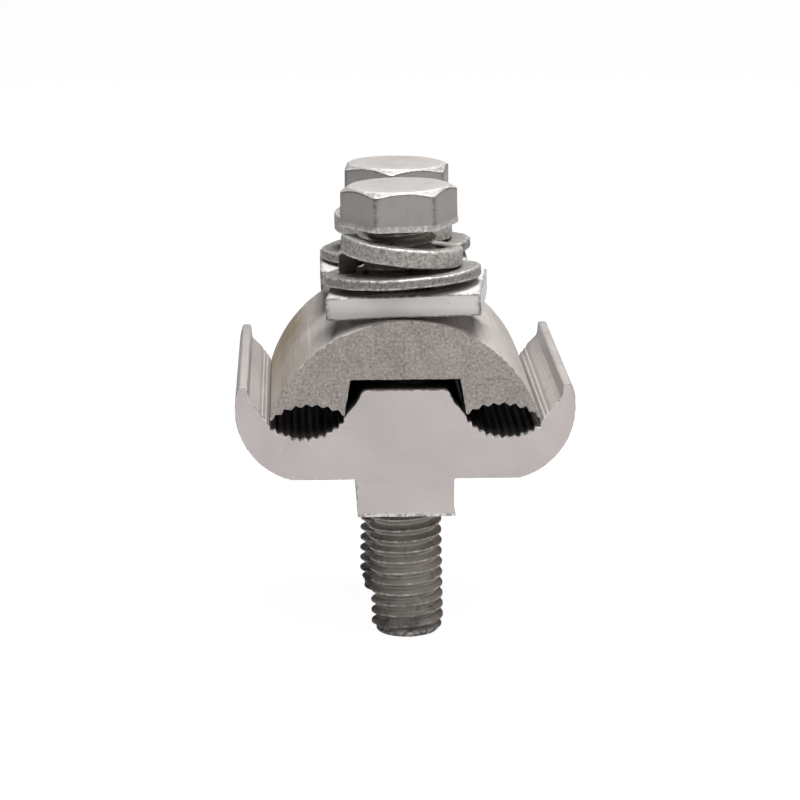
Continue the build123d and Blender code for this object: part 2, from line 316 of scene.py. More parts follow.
class Paint:
    """The start of a procedural material: its tree, its object coordinates in mm and its shader."""

    def __init__(self, name, metallic):
        self.material = bpy.data.materials.new(name)
        self.tree = empty_tree(self.material)
        self.place = node(self.tree, "ShaderNodeTexCoord", output="Object") * PER_MM
        self.metallic = metallic

    def noise(self, scale, detail=3.0, stretch=(1, 1, 1), distortion=0.0, roughness=0.55):
        """Fractal noise with scale features per mm, optionally stretched."""
        where = self.place * stretch if stretch != (1, 1, 1) else self.place
        return node(self.tree, "ShaderNodeTexNoise", {},
                    {"Vector": where, "Scale": scale, "Detail": detail, "Roughness": roughness,
                     "Distortion": distortion}, "Fac")

    def cells(self, scale):
        """Distance from the middle of cells, with scale cells per mm."""
        return node(self.tree, "ShaderNodeTexVoronoi", {}, {"Vector": self.place, "Scale": scale},
                    "Distance")

    def ramp(self, value, low, high, start=0.0, end=1.0):
        """Maps low..high of a value to start..end, clamped and smooth."""
        return node(self.tree, "ShaderNodeMapRange", {"interpolation_type": "SMOOTHSTEP"},
                    {"Value": value, "From Min": low, "From Max": high, "To Min": start, "To Max": end})

    def fade(self, value, low, high):
        """1 where the value is below low, 0 above high."""
        return self.ramp(value, low, high, 1.0, 0.0)

    def patches(self, low, high, scale, detail=3.0, **more):
        """Noise turned into patches: 0 where it is below low, 1 above high."""
        return self.ramp(self.noise(scale, detail, **more), low, high)

    def mix(self, factor, first, second):
        """First where factor is 0, second where it is 1."""
        return node(self.tree, "ShaderNodeMix", {"data_type": "RGBA", "clamp_factor": True},
                    {0: factor, 6: first, 7: second}, 2)

    def tint(self, paint, shade):
        """A colour multiplied by a number field round 1."""
        grey = node(self.tree, "ShaderNodeCombineXYZ", {}, {0: shade, 1: shade, 2: shade})
        return node(self.tree, "ShaderNodeMix", {"data_type": "RGBA", "blend_type": "MULTIPLY"},
                    {0: 1.0, 6: paint, 7: grey}, 2)

    def axis(self, source, name):
        """One component of the object coordinates or of the surface normal."""
        vector = self.place if source == "place" else node(self.tree, "ShaderNodeTexCoord", output="Normal")
        return node(self.tree, "ShaderNodeSeparateXYZ", {}, {0: vector}, name)

    def above(self, node_name):
        """Height over the lowest point of a CAD node, in mm."""
        return self.axis("place", "Z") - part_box(node_name)[0].z * PER_MM

    def attribute(self, name):
        """A number that the mesh carries on its points."""
        return node(self.tree, "ShaderNodeAttribute", {"attribute_name": name}, output="Fac")

    def worn(self, scale, low, high, least):
        """A thin mask along the rim, broken up by noise: worn edges with a painted highlight on the washers,
        a painted shadow line on the plates.
        """
        rim = self.attribute("rim")
        thin = rim * rim
        thin = thin * thin
        return thin * thin * self.ramp(self.noise(scale), low, high, least, 1.0)

    def steep(self, name):
        """How squarely the surface faces along an axis, either way."""
        return abs(self.axis("normal", name))

    def finish(self, base, roughness, height, bump):
        """Joins the fields to the shader; bump is the relief in mm for a height of 1."""
        relief = node(self.tree, "ShaderNodeBump", {},
                      {"Strength": 1.0, "Distance": bump * MM, "Height": height})
        shader = node(self.tree, "ShaderNodeBsdfPrincipled", {},
                      {"Base Color": base, "Roughness": roughness, "Metallic": self.metallic,
                       "Normal": relief})
        node(self.tree, "ShaderNodeOutputMaterial", {}, {"Surface": shader})
        return self.material


# ---------------------------------------------------------------- finishes

def end_face_masks(paint, scale):
    """1 on the sawn ends, which face along Y; 1 on the bright parts of their rim, bare burr with a painted
    glint; and 1 on the darker rest of the rim.
    """
    along = paint.steep("Y")
    bevel = paint.ramp(along, 0.25, 0.36) * paint.fade(along, 0.94, 0.98)
    worn = paint.patches(0.44, 0.56, scale)
    return paint.ramp(along, 0.55, 0.8), bevel * worn, bevel * (1 - worn)


def groove_shade(paint, node_name):
    """Painted shade and painted glint: the first mask is 1 on the mating surfaces inside the clamp, painted
    dark where little light gets in, the second is 1 on their outer lip, where a glint is painted.
    """
    low, high = (corner * PER_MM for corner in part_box(node_name))
    trough = settings().trough
    reach = (trough.groove_x + trough.groove_width / 2) * PER_MM
    inside = paint.fade(abs(paint.axis("place", "X")), reach - 0.3, reach + 0.2)
    depth = abs(paint.axis("place", "Y") - (low.y + high.y) / 2)
    half = (high.y - low.y) / 2
    level = paint.axis("place", "Z")
    mated = inside * paint.fade(level, 5.9, 6.1) * paint.ramp(level, -4.0, -3.6)
    lip = mated * paint.ramp(depth, half - 1.1, half - 0.7) * paint.fade(level, 1.0, 1.6)
    return mated * paint.fade(depth, half - 1.6, half - 0.2), lip


def body_finish(finish):
    """Sawn ends with a fine grain, and an extruded skin with long draw lines."""
    paint = Paint("sawn_aluminium", metallic=0.35)
    ends, rim, dark_rim = end_face_masks(paint, 1.6)
    grain = paint.noise(4.0)
    saw = paint.noise(1.2, stretch=(1, 1, 5.0))
    cloud = paint.noise(0.12, 2.0)
    blotch = paint.noise(0.5)
    lines = paint.noise(3.0, 4.0, stretch=(1, 0.02, 1))
    specks = paint.patches(0.68, 0.74, 5.0, 2.0)
    sawn = paint.tint(finish.sawn[:], 0.80 + 0.14 * grain + 0.28 * cloud)
    sawn = paint.mix(specks * 0.2, sawn, finish.zinc_dark[:])
    skin = paint.tint(finish.skin[:], 0.70 + 0.35 * lines + 0.25 * blotch)
    base = paint.mix(ends, skin, sawn)
    dirt = paint.patches(0.58, 0.70, 0.9, 4.0) * (1 - ends) * 0.35
    base = paint.mix(dirt, base, finish.grime_and_shade[:])
    # The rim's bright parts are bare burr with a painted glint; the rest of the rim is darkened.
    base = paint.mix(rim * 0.75, base, BARE_ALUMINIUM)
    base = paint.mix(dark_rim * 0.8, base, finish.grime_and_shade[:])
    burr = paint.fade(paint.above("lower_body"), 0.15, 0.75) * ends
    bright = paint.patches(0.42, 0.54, 2.2, 4.0)
    base = paint.mix(burr * bright * 0.75, base, BARE_ALUMINIUM)
    base = paint.mix(burr * (1 - bright) * 0.55, base, finish.zinc_dark[:])
    # Painted shade darkens the grooves and the channel deep inside; a painted glint brightens the grooves'
    # outer lip.
    inside, lip = groove_shade(paint, "lower_body")
    base = paint.mix(inside * (1 - ends) * 0.93, base, finish.grime_and_shade[:])
    glint = paint.patches(0.48, 0.58, 1.4)
    base = paint.mix(lip * (1 - ends) * glint, base, LIP_GLINT)
    roughness = 0.42 + 0.18 * ends + 0.12 * blotch - 0.12 * rim
    height = ends * (grain * 0.12 + saw * 0.2) + (1 - ends) * (lines * 1.4 + blotch * 0.5) + rim * 0.3
    return paint.finish(base, roughness, height, 0.04)


def keeper_finish(finish):
    """Coarse torn grain on the ends, a drawn and scratched back, and a dried stain."""
    paint = Paint("keeper_aluminium", metallic=0.35)
    ends, rim, dark_rim = end_face_masks(paint, 2.0)
    grain = paint.noise(2.7, 4.0, roughness=0.65)
    fine = paint.noise(4.5, 2.0)
    sparkle = paint.patches(0.62, 0.72, 2.8, distortion=0.6)
    pits = paint.fade(paint.cells(1.1), 0.10, 0.24) * paint.patches(0.5, 0.6, 0.8)
    lines = paint.noise(2.4, 4.0, stretch=(1, 0.03, 1))
    patches = paint.noise(0.28, stretch=(1, 0.45, 1), distortion=1.2)
    side = paint.axis("place", "X")
    along = paint.axis("place", "Y")
    stain_zone = paint.fade(side, -14.6, -12.0) * paint.ramp(along, -8.0, 12.0, 0.35, 1.0)
    stain = stain_zone * paint.patches(0.22, 0.54, 0.3, 5.0, distortion=0.4)
    scratch = paint.patches(0.61, 0.70, 1.1, 5.0, stretch=(1, 0.12, 1), distortion=2.5)
    torn = paint.tint(finish.broken[:], 1.85 * grain + 0.55 * fine + 0.7 * patches - 0.57)
    # Painted glints sparkle on the torn ends.
    torn = paint.mix(sparkle * 0.32, torn, SPARKLE)
    torn = paint.mix(pits * 0.35, torn, finish.grime_and_shade[:])
    back = paint.tint(finish.keeper_skin[:], 0.62 + 0.45 * lines + 0.35 * patches)
    back = paint.mix(scratch * 0.5, back, SCRATCH)
    base = paint.mix(ends, back, torn)
    base = paint.mix(stain * (1 - ends) * 0.95, base, finish.stain[:])
    # The rim's bright parts are bare metal with a painted glint; the rest of the rim is darkened.
    base = paint.mix(rim * 0.6, base, DULL_BARE)
    base = paint.mix(dark_rim * 0.6, base, finish.grime_and_shade[:])
    # Painted shade on the downward-facing surfaces deep inside the keeper's grooves and channel.
    facing = paint.fade(paint.axis("normal", "Z"), -0.1, 0.1)
    inside, _ = groove_shade(paint, "keeper")
    base = paint.mix(inside * facing * (1 - ends) * 0.93, base, finish.grime_and_shade[:])
    roughness = 0.45 + 0.17 * ends + 0.18 * patches
    height = ends * (grain * 0.6 + fine * 0.2) + (1 - ends) * (lines * 1.1 + patches * 0.6 - scratch * 0.5)
    return paint.finish(base, roughness, height, 0.08)


def plate_finish(finish):
    """Smooth flat bar with faint streaks from its rolling, a painted dark shadow line along its sheared
    edges, and painted shade towards the bottom of its sides.
    """
    paint = Paint("plate_aluminium", metallic=0.35)
    streaks = paint.noise(1.6, 4.0, stretch=(0.08, 1, 1))
    cloud = paint.noise(0.22)
    fine = paint.noise(6.0)
    nicks = paint.patches(0.70, 0.76, 2.2, 2.0, distortion=0.5)
    # Here the rim mask carries a painted shadow line along the sheared edges.
    rim = paint.worn(1.3, 0.36, 0.56, 0.3)
    # The sides are painted darker towards their bottom edge: painted shade.
    sides = paint.fade(paint.steep("Z"), 0.4, 0.7)
    painted_low_shade = 1 - sides * paint.ramp(paint.axis("place", "Z"), 14.0, 15.8, 0.30, 0.0)
    base = paint.tint(finish.plate[:], (0.80 + 0.18 * streaks + 0.28 * cloud) * painted_low_shade)
    base = paint.mix(nicks * 0.4, base, finish.zinc_dark[:])
    base = paint.mix(rim * 0.72, base, finish.grime_and_shade[:])
    roughness = 0.40 + 0.15 * cloud + 0.08 * fine
    return paint.finish(base, roughness, streaks * 0.8 + fine * 0.25 + cloud * 0.8, 0.05)


def zinc_finish(finish, name, shade):
    """Hot-dip zinc: lumpy, mottled light and dark, with bright rims that are worn and carry a painted
    highlight, and cut ends painted dark as painted shade.
    """
    paint = Paint(name, metallic=0.62)
    mottle = paint.noise(2.0, 5.0, distortion=0.4, roughness=0.68)
    lumps = paint.noise(0.7, 2.0)
    fine = paint.noise(5.0)
    spangle = paint.cells(1.4)
    rim = paint.worn(1.6, 0.44, 0.56, 0.0)
    dark = paint.ramp(mottle, 0.34, 0.64)
    base = paint.mix(dark, finish.zinc_dark[:], finish.zinc[:])
    base = paint.tint(base, shade * (0.86 + 0.14 * spangle + 0.44 * fine))
    specks = paint.patches(0.58, 0.66, 4.2)
    base = paint.mix(specks * 0.65, base, finish.grime_and_shade[:])
    # Rims: worn zinc with a painted highlight
    base = paint.mix(rim * 0.45, base, BARE_ZINC)
    # Painted shade darkens the spring washers' cut ends.
    base = paint.mix(paint.attribute("cut") * 0.9, base, finish.grime_and_shade[:])
    roughness = 0.36 + 0.22 * mottle + 0.08 * fine
    return paint.finish(base, roughness, lumps * 1.2 + mottle * 0.6 + fine * 0.1, 0.08)


def bolt_finish(finish):
    """Zinc that is smooth on the head and greyed in the thread, bright where it is worn; painted highlights
    and painted shade lines mark the head's edges, its upright sides get painted shade, and the thread's roots
    get painted light.
    """
    paint = Paint("bolt_zinc", metallic=0.55)
    thread = paint.attribute("thread")
    root = paint.attribute("root")
    shade_line = paint.attribute("shade_line")
    cloud = paint.noise(0.45)
    streaks = paint.noise(1.2, 4.0, stretch=(1, 1, 0.25))
    fine = paint.noise(5.5)
    drips = paint.patches(0.46, 0.60, 1.7, 4.0, distortion=0.6)
    rim = paint.attribute("rim") * (0.25 + 0.75 * drips)
    head = paint.tint(finish.bolt[:], 0.80 + 0.22 * cloud + 0.14 * streaks + 0.06 * fine)
    sides = paint.fade(paint.steep("Z"), 0.3, 0.6)
    facing = paint.axis("normal", "Z")
    cone = paint.ramp(facing, 0.70, 0.80) * paint.fade(facing, 0.90, 0.97)
    # The upright sides are painted 14 % darker than the top: painted shade. The chamfer band is darker and
    # speckled.
    head = paint.tint(head, 1 - 0.14 * sides - cone * (0.20 + 0.60 * fine))
    # Worn zinc on the head's edges, with painted highlights along the hexagon's corners and the chamfer's
    # edge
    head = paint.mix(rim * 0.7, head, BARE_ZINC)
    speck = paint.patches(0.52, 0.60, 2.6) * (1 - sides) * (0.25 + 0.75 * cone)
    head = paint.mix(speck * 0.7, head, finish.zinc_dark[:])
    worn = paint.patches(0.48, 0.62, 1.3, 4.0, stretch=(1, 1, 2.0))
    flank = paint.tint(finish.thread[:], 0.70 + 0.35 * cloud + 0.25 * streaks)
    # Painted light: the roots and the flanks beside them are painted lighter than the crests, evening out the
    # thread's shading.
    flank = paint.tint(flank, 0.86 + 0.34 * root)
    stains = paint.patches(0.56, 0.68, 0.55, 4.0, distortion=0.8)
    flank = paint.mix(stains * 0.4, flank, finish.grime_and_shade[:])
    # The crests are bare where worn, with painted glints.
    flank = paint.mix(paint.fade(root, 0.02, 0.18) * worn * 0.45, flank, DULL_BARE)
    level = paint.above("front_bolt")
    bruised = paint.fade(level, 1.6, 4.2) * paint.patches(0.42, 0.6, 0.35)
    flank = paint.mix(bruised * 0.55, flank, finish.grime_and_shade[:])
    tip = paint.fade(level, 0.5, 1.3) * paint.patches(0.44, 0.56, 1.6, 4.0)
    flank = paint.mix(tip * 0.7, flank, BARE_STEEL)
    # Painted shade lines at the hexagon's corners and along the chamfer's edge
    head = paint.mix(shade_line * (0.45 + 0.45 * worn), head, finish.grime_and_shade[:])
    base = paint.mix(thread, head, flank)
    roughness = 0.36 + 0.10 * cloud + 0.06 * fine + 0.06 * thread + 0.2 * cone
    height = cloud * 0.8 + streaks * 0.5 + fine * 0.1 + drips * rim * 0.8
    return paint.finish(base, roughness, height, 0.05)


# ---------------------------------------------------------------- mesh helpers

def settings():
    """The clamp's settings in the current scene."""
    return bpy.context.scene.parallel_groove_clamp


def linked(name, data):
    """Puts a new object into the scene."""
    made = bpy.data.objects.new(name, data)
    bpy.context.collection.objects.link(made)
    return made


def mesh_object(name, bm):
    """Puts a bmesh into the scene as an object."""
    mesh = bpy.data.meshes.new(name)
    bm.to_mesh(mesh)
    return linked(name, mesh)


def piece(name, bm, material, body, replaced, smooth=35.0):
    """Turns a bmesh into a finished object that rides on its body and stays in its node's box."""
    low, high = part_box(replaced)
    for vert in bm.verts:
        vert.co = Vector([min(max(value, least), most) for value, least, most in zip(vert.co, low, high)])
    bm.normal_update()
    made = mesh_object(name, bm)
    bm.free()
    made.data.polygons.foreach_set("use_smooth", [True] * len(made.data.polygons))
    made.data.set_sharp_from_angle(angle=radians(smooth))
    made.data.materials.append(material)
    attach(made, body)
    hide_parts(replaced)
    return made


def placed(bm, node_name, lean, turn=0.0, tilt=0.0):
    """Turns, tilts and leans the whole bmesh, then brings its box to the middle of a CAD node's."""
    stance = (Matrix.Rotation(radians(lean), 4, "Y") @ Matrix.Rotation(radians(tilt), 4, "X")
              @ Matrix.Rotation(radians(turn), 4, "Z"))
    bmesh.ops.transform(bm, matrix=stance, verts=bm.verts)
    spans = [[vert.co[axis] for vert in bm.verts] for axis in range(3)]
    centre = Vector([(min(span) + max(span)) / 2 for span in spans])
    low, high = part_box(node_name)
    bmesh.ops.translate(bm, vec=(low + high) / 2 - centre, verts=bm.verts)


def bored(bm, places, radius, low, high):
    """Cuts upright round holes at (x, y) places through a closed bmesh."""
    work = mesh_object("blank", bm)
    drills = []
    for x, y in places:
        drill = bmesh.new()
        bmesh.ops.create_cone(drill, cap_ends=True, segments=64, radius1=radius, radius2=radius,
                              depth=high - low)
        bmesh.ops.translate(drill, vec=(x, y, (low + high) / 2), verts=drill.verts)
        drills.append(mesh_object("drill", drill))
        drill.free()
        cut = work.modifiers.new("hole", "BOOLEAN")
        cut.object = drills[-1]
        cut.operation = "DIFFERENCE"
        cut.solver = "EXACT"
    graph = bpy.context.evaluated_depsgraph_get()
    result = bpy.data.meshes.new_from_object(work.evaluated_get(graph))
    bm.clear()
    bm.from_mesh(result)
    for helper in [work, *drills]:
        mesh = helper.data
        bpy.data.objects.remove(helper)
        bpy.data.meshes.remove(mesh)
    bpy.data.meshes.remove(result)


def spaced(points, step):
    """The outline with extra points so that no stretch is longer than step."""
    dense = []
    for index, (x, z) in enumerate(points):
        next_x, next_z = points[(index + 1) % len(points)]
        count = max(1, ceil(hypot(next_x - x, next_z - z) / step))
        dense += [(x + (next_x - x) * k / count, z + (next_z - z) * k / count) for k in range(count)]
    return dense


def rounded(bm, edges, offset, segments):
    """Breaks sharp edges by a small round; gives the new points."""
    return bmesh.ops.bevel(bm, geom=edges, offset=offset, segments=segments, profile=0.5, affect="EDGES",
                           clamp_overlap=True, material=-1)["verts"]


def extruded(outline, node_name, rim):
    """A closed XZ outline extruded over a node's length, its end rims broken by a small bevel."""
    low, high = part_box(node_name)
    bm = bmesh.new()
    face = bm.faces.new([bm.verts.new((x, low.y, z)) for x, z in outline])
    grown = bmesh.ops.extrude_face_region(bm, geom=[face])
    far = [item for item in grown["geom"] if isinstance(item, bmesh.types.BMVert)]
    bmesh.ops.translate(bm, vec=(0, high.y - low.y, 0), verts=far)
    bmesh.ops.recalc_face_normals(bm, faces=bm.faces)
    rims = [edge for edge in bm.edges if abs(edge.verts[0].co.y - edge.verts[1].co.y) < 1e-9]
    rounded(bm, rims, rim, segments=2)
    bm.normal_update()
    filled = sum(area_tri(*(loop.vert.co for loop in loops)) for loops in bm.calc_loop_triangles()
                 if loops[0].face.normal.y > 0.99)
    section = abs(sum(a[0] * b[1] - b[0] * a[1] for a, b in zip(outline, outline[1:] + outline[:1]))) / 2
    if filled > section:
        raise RuntimeError(f"the {node_name} section does not close cleanly")
    return bm


def uneven(bm, amount, waves):
    """Moves points by smooth noise of up to amount mm, to take the machine-made look off an edge."""
    for vert in bm.verts:
        shift = noise.noise_vector(vert.co * (PER_MM * waves))
        vert.co += Vector((shift.x, shift.y * 0.5, shift.z)) * (amount * MM)


def arc_points(start, end, depth, count):
    """Points (x, z, direction) of the arc from start to end that bulges by depth to the left."""
    chord_x, chord_z = end[0] - start[0], end[1] - start[1]
    chord = hypot(chord_x, chord_z)
    radius = (chord ** 2 / 4 + depth ** 2) / (2 * abs(depth))
    side = 1 if depth > 0 else -1
    normal = (-chord_z / chord * side, chord_x / chord * side)
    reach = radius - abs(depth)
    centre = ((start[0] + end[0]) / 2 - normal[0] * reach, (start[1] + end[1]) / 2 - normal[1] * reach)
    first = atan2(start[1] - centre[1], start[0] - centre[0])
    last = atan2(end[1] - centre[1], end[0] - centre[0])
    if last - first > pi:
        last -= 2 * pi
    if last - first < -pi:
        last += 2 * pi
    angles = [first + (last - first) * index / count for index in range(count + 1)]
    return [(centre[0] + radius * cos(a), centre[1] + radius * sin(a), a) for a in angles]


def serrated_arc(start, end, depth, teeth, tooth):
    """A groove wall whose notches bite into the metal, with worn crests and sharp roots."""
    per_tooth = 6
    points = []
    for index, (x, z, a) in enumerate(arc_points(start, end, depth, per_tooth * teeth)):
        phase = (index % per_tooth) / per_tooth
        bite = tooth * (1 - abs(2 * phase - 1))
        wear = 0.85 + 0.3 * noise.noise(Vector((x, z, 0)) * PER_MM)
        points.append((x + bite * wear * cos(a), z + bite * wear * sin(a)))
    return points


def mirrored(points):
    """The same points on the other side of the middle plane, in reverse order."""
    return [(-x, z) for x, z in reversed(points)]


def around(x, z, offsets):
    """Points near (x, z), with their offsets in mm."""
    return [(x + right * MM, z + up * MM) for right, up in offsets]


def turned(bm, geom, sweep, steps, rise=0.0, **more):
    """Spins a section about Z through an angle while it rises."""
    bmesh.ops.spin(bm, geom=geom, cent=(0, 0, 0), axis=(0, 0, 1), angle=sweep, steps=steps,
                   dvec=(0, 0, rise / steps), **more)


# ---------------------------------------------------------------- outlines

def ledge_points(size):
    """The ledge between ear and groove, with its two fine ribs at shares of its width."""
    rib_places = (0.25, 0.65)
    rib_reach = 0.16
    top = (size.half_width - size.ear_root - size.ear_fillet, size.ledge_z + 0.2 * size.ear_fillet)
    bottom = (size.groove_x + size.groove_width / 2, size.corner_z)
    count = 14
    points = []
    for index in range(count + 1):
        share = index / count
        rib = size.rib * max(0.0, *(1 - ((share - place) / rib_reach) ** 2 for place in rib_places))
        points.append((top[0] + (bottom[0] - top[0]) * share, top[1] + (bottom[1] - top[1]) * share + rib))
    return points


def trough_half(size):
    """Right half of the lower body's section, from the boss round to the pedestal's top."""
    centre_x = size.half_width - size.wall_radius
    drop = size.wide_z - size.flange_z
    lowest = -atan2(drop, sqrt(size.wall_radius ** 2 - drop ** 2))
    count = 28
    outer = [(centre_x + size.wall_radius * cos(lowest * (1 - k / count)),
              size.wide_z + size.wall_radius * sin(lowest * (1 - k / count))) for k in range(count + 1)]
    tip_x = size.half_width - size.ear_inset
    inner_corner = (size.groove_x - size.groove_width / 2, size.corner_z + size.corner_rise)
    outer_corner = (size.groove_x + size.groove_width / 2, size.corner_z)
    ear = around(size.half_width, size.wide_z, ((-0.02, 0.9), (-0.12, 1.7)))
    ear += around(tip_x, size.ear_tip_z, ((0.16, -0.4), (0.02, -0.1), (-0.2, 0)))
    ear += around(tip_x - size.ear_tip, size.ear_tip_z, ((0.22, -0.02), (0.03, -0.18), (-0.05, -0.5)))
    ear += [(size.half_width - size.ear_root + right * MM - share * size.ear_fillet, size.ledge_z + up * MM)
            for right, share, up in ((0.85, 0, 2.0), (0.42, 0.40, 1.3), (0, 0.65, 0.7), (0, 0.90, 0.35))]
    groove = serrated_arc(outer_corner, inner_corner, size.depth, size.teeth, size.tooth)
    flare = around(*inner_corner, ((-0.3, 0.35), (-0.65, 0.85), (-1.1, 1.35)))
    flare += around(size.pedestal_half, size.pedestal_z, ((0.5, -1.8), (0.3, -1.35)))
    corner = size.pedestal_round
    top = [(size.pedestal_half - corner * (1 - sin(a)), size.pedestal_z - corner * (1 - cos(a)))
           for a in (radians(90 - 15 * k) for k in range(7))]
    root = size.boss_root
    boss = [(size.boss_half, size.boss_z), (size.boss_half, size.flange_z - root),
            (size.boss_half + 0.3 * root, size.flange_z - 0.3 * root), (size.boss_half + root, size.flange_z)]
    return boss + outer + ear + ledge_points(size) + groove[1:-1] + [inner_corner] + flare + top


def keeper_half(size):
    """Right half of the keeper's section, from the crown round to the channel's roof."""
    rise = size.crown_z - size.leg_z
    radius = (size.leg_half ** 2 + rise ** 2) / (2 * rise)
    centre_z = size.crown_z - radius
    last = atan2(size.leg_z - centre_z, size.leg_half)
    count = 60
    angles = [pi / 2 + (last - pi / 2) * k / count for k in range(1, count + 1)]
    back = [(radius * cos(a), centre_z + radius * sin(a)) for a in angles]
    sag = 0.05 * MM
    outer_corner = (size.leg_half - size.toe, size.leg_z - sag)
    inner_corner = (size.channel_bottom + size.toe, size.corner_z)
    groove = serrated_arc(outer_corner, inner_corner, -size.depth, size.teeth, size.tooth)
    channel = around(size.channel_top, size.channel_z, ((0.02, -0.18), (-0.16, 0)))
    return back + groove + [(size.channel_bottom, size.corner_z - sag)] + channel


# ---------------------------------------------------------------- pieces

def bolt_joints():
    """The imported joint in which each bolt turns, by the bolt's name."""
    return {joint["child"]: joint for joint in frame["joints"] if joint["type"] == "hinge"}


def burr(bm, x, z, reach, right, up):
    """Drags the metal within reach of a section corner right and up, as a saw leaves it."""
    for vert in bm.verts:
        gap = hypot(vert.co.x - x, vert.co.z - z)
        if gap < reach:
            share = (1 - gap / reach) * (0.6 + 0.8 * noise.noise(vert.co * PER_MM * 0.9))
            vert.co.x += right * share
            vert.co.z += up * share


class CLAMP_OT_lower_body(bpy.types.Operator):
    """Builds the lower body: the extruded trough with its ears, pedestal and threaded boss"""
    bl_idname = "clamp.lower_body"
    bl_label = "Lower body"

    def execute(self, context):
        size = settings().trough
        half = trough_half(size)
        bm = extruded(spaced(half + mirrored(half), OUTLINE_STEP), "lower_body", size.rim)
        uneven(bm, *TROUGH_UNEVEN)
        ear_x = size.half_width - size.ear_inset - size.ear_tip
        for x, z, reach, right, up in (
                (size.boss_half, size.boss_z, 1.2, 0.42, 0.02),
                (-size.boss_half, size.boss_z, 0.9, 0.10, -0.05),
                (-ear_x, size.ear_tip_z, 0.8, 0.12, 0.10), (ear_x, size.ear_tip_z, 0.8, -0.12, 0.10)):
            burr(bm, x, z, reach * MM, right * MM, up * MM)
        places = [joint["pos_m"][:2] for joint in bolt_joints().values()]
        bored(bm, places, size.hole, size.boss_z - CUT_MARGIN, size.pedestal_z + CUT_MARGIN)
        material = body_finish(settings().finish)
        piece("trough", bm, material, "lower_body", "lower_body", smooth=20.0)
        return {"FINISHED"}


class CLAMP_OT_keeper(bpy.types.Operator):
    """Builds the keeper: the arch that presses both conductors into the trough"""
    bl_idname = "clamp.keeper"
    bl_label = "Keeper"

    def execute(self, context):
        size = settings().keeper
        half = keeper_half(size)
        outline = spaced([(0, size.crown_z)] + half + mirrored(half), OUTLINE_STEP)
        bm = extruded(outline, "keeper", size.rim)
        uneven(bm, *KEEPER_UNEVEN)
        places = [(0, joint["pos_m"][1]) for joint in bolt_joints().values()]
        bored(bm, places, size.hole, size.corner_z, size.crown_z + CUT_MARGIN)
        material = keeper_finish(settings().finish)
        piece("keeper_arch", bm, material, "keeper", "keeper", smooth=20.0)
        return {"FINISHED"}


class CLAMP_OT_pressure_plates(bpy.types.Operator):
    """Builds the two square plates, sheared from flat bar and punched"""
    bl_idname = "clamp.pressure_plates"
    bl_label = "Pressure plates"

    def execute(self, context):
        size = settings().hardware
        material = plate_finish(settings().finish)
        for name, stack in STACKS.items():
            bm = bmesh.new()
            bmesh.ops.create_cube(bm, size=1)
            extent = (size.plate_width, size.plate_depth, size.plate_thickness)
            bmesh.ops.scale(bm, vec=extent, verts=bm.verts)
            bmesh.ops.subdivide_edges(bm, edges=bm.edges, cuts=9, use_grid_fill=True)
            layer = bm.verts.layers.float.new("rim")
            sharp = [edge for edge in bm.edges if edge.calc_face_angle(0) > 1]
            for vert in rounded(bm, sharp, size.plate_round, segments=3):
                vert[layer] = 1.0
            uneven(bm, *stack["plate_uneven"])
            bored(bm, [(0, 0)], size.plate_hole, -size.plate_thickness, size.plate_thickness)
            placed(bm, name + "_pressure_plate", stack["plate_lean"], stack["plate_turn"])
            piece(name + "_plate", bm, material, "keeper", name + "_pressure_plate")
        return {"FINISHED"}


def section_loop(bm, section):
    """A closed loop of edges through the (x, z, wear) points of a section in the XZ plane."""
    layer = bm.verts.layers.float.new("rim")
    verts = []
    for x, z, wear in section:
        vert = bm.verts.new((x, 0, z))
        vert[layer] = wear
        verts.append(vert)
    return verts + [bm.edges.new((verts[k], verts[(k + 1) % len(verts)])) for k in range(len(verts))]


def bar_section(inner, outer, low, high, corner):
    """A rectangle with rounded corners as (x, z, wear) points; corners carry the wear."""
    count = 3
    points = []
    for x, z, first in ((outer - corner, high - corner, 0), (inner + corner, high - corner, 90),
                        (inner + corner, low + corner, 180), (outer - corner, low + corner, 270)):
        for k in range(count + 1):
            a = radians(first + 90 * k / count)
            points.append((x + corner * cos(a), z + corner * sin(a), 1.0))
    sides = []
    for k, (x, z, wear) in enumerate(points):
        sides.append((x, z, wear))
        if k % (count + 1) == count:
            next_x, next_z, _ = points[(k + 1) % len(points)]
            sides += [(x * (1 - share) + next_x * share, z * (1 - share) + next_z * share, 0.0)
                      for share in (0.25, 0.75)]
    return sides


class CLAMP_OT_flat_washers(bpy.types.Operator):
    """Builds the two punched flat washers"""
    bl_idname = "clamp.flat_washers"
    bl_label = "Flat washers"

    def execute(self, context):
        size = settings().hardware
        material = zinc_finish(settings().finish, "washer_zinc", 0.78)
        half = size.washer_thickness / 2
        section = bar_section(size.washer_hole, size.washer_radius, -half, half, size.washer_round)
        for name, stack in STACKS.items():
            bm = bmesh.new()
            turned(bm, section_loop(bm, section), 2 * pi, steps=128, use_merge=True)
            bmesh.ops.remove_doubles(bm, verts=bm.verts, dist=1e-7)
            bmesh.ops.recalc_face_normals(bm, faces=bm.faces)
            uneven(bm, *stack["washer_uneven"])
            placed(bm, name + "_flat_washer", stack["washer_lean"], tilt=stack["washer_tilt"])
            piece(name + "_washer", bm, material, "keeper", name + "_flat_washer", smooth=50.0)
        return {"FINISHED"}


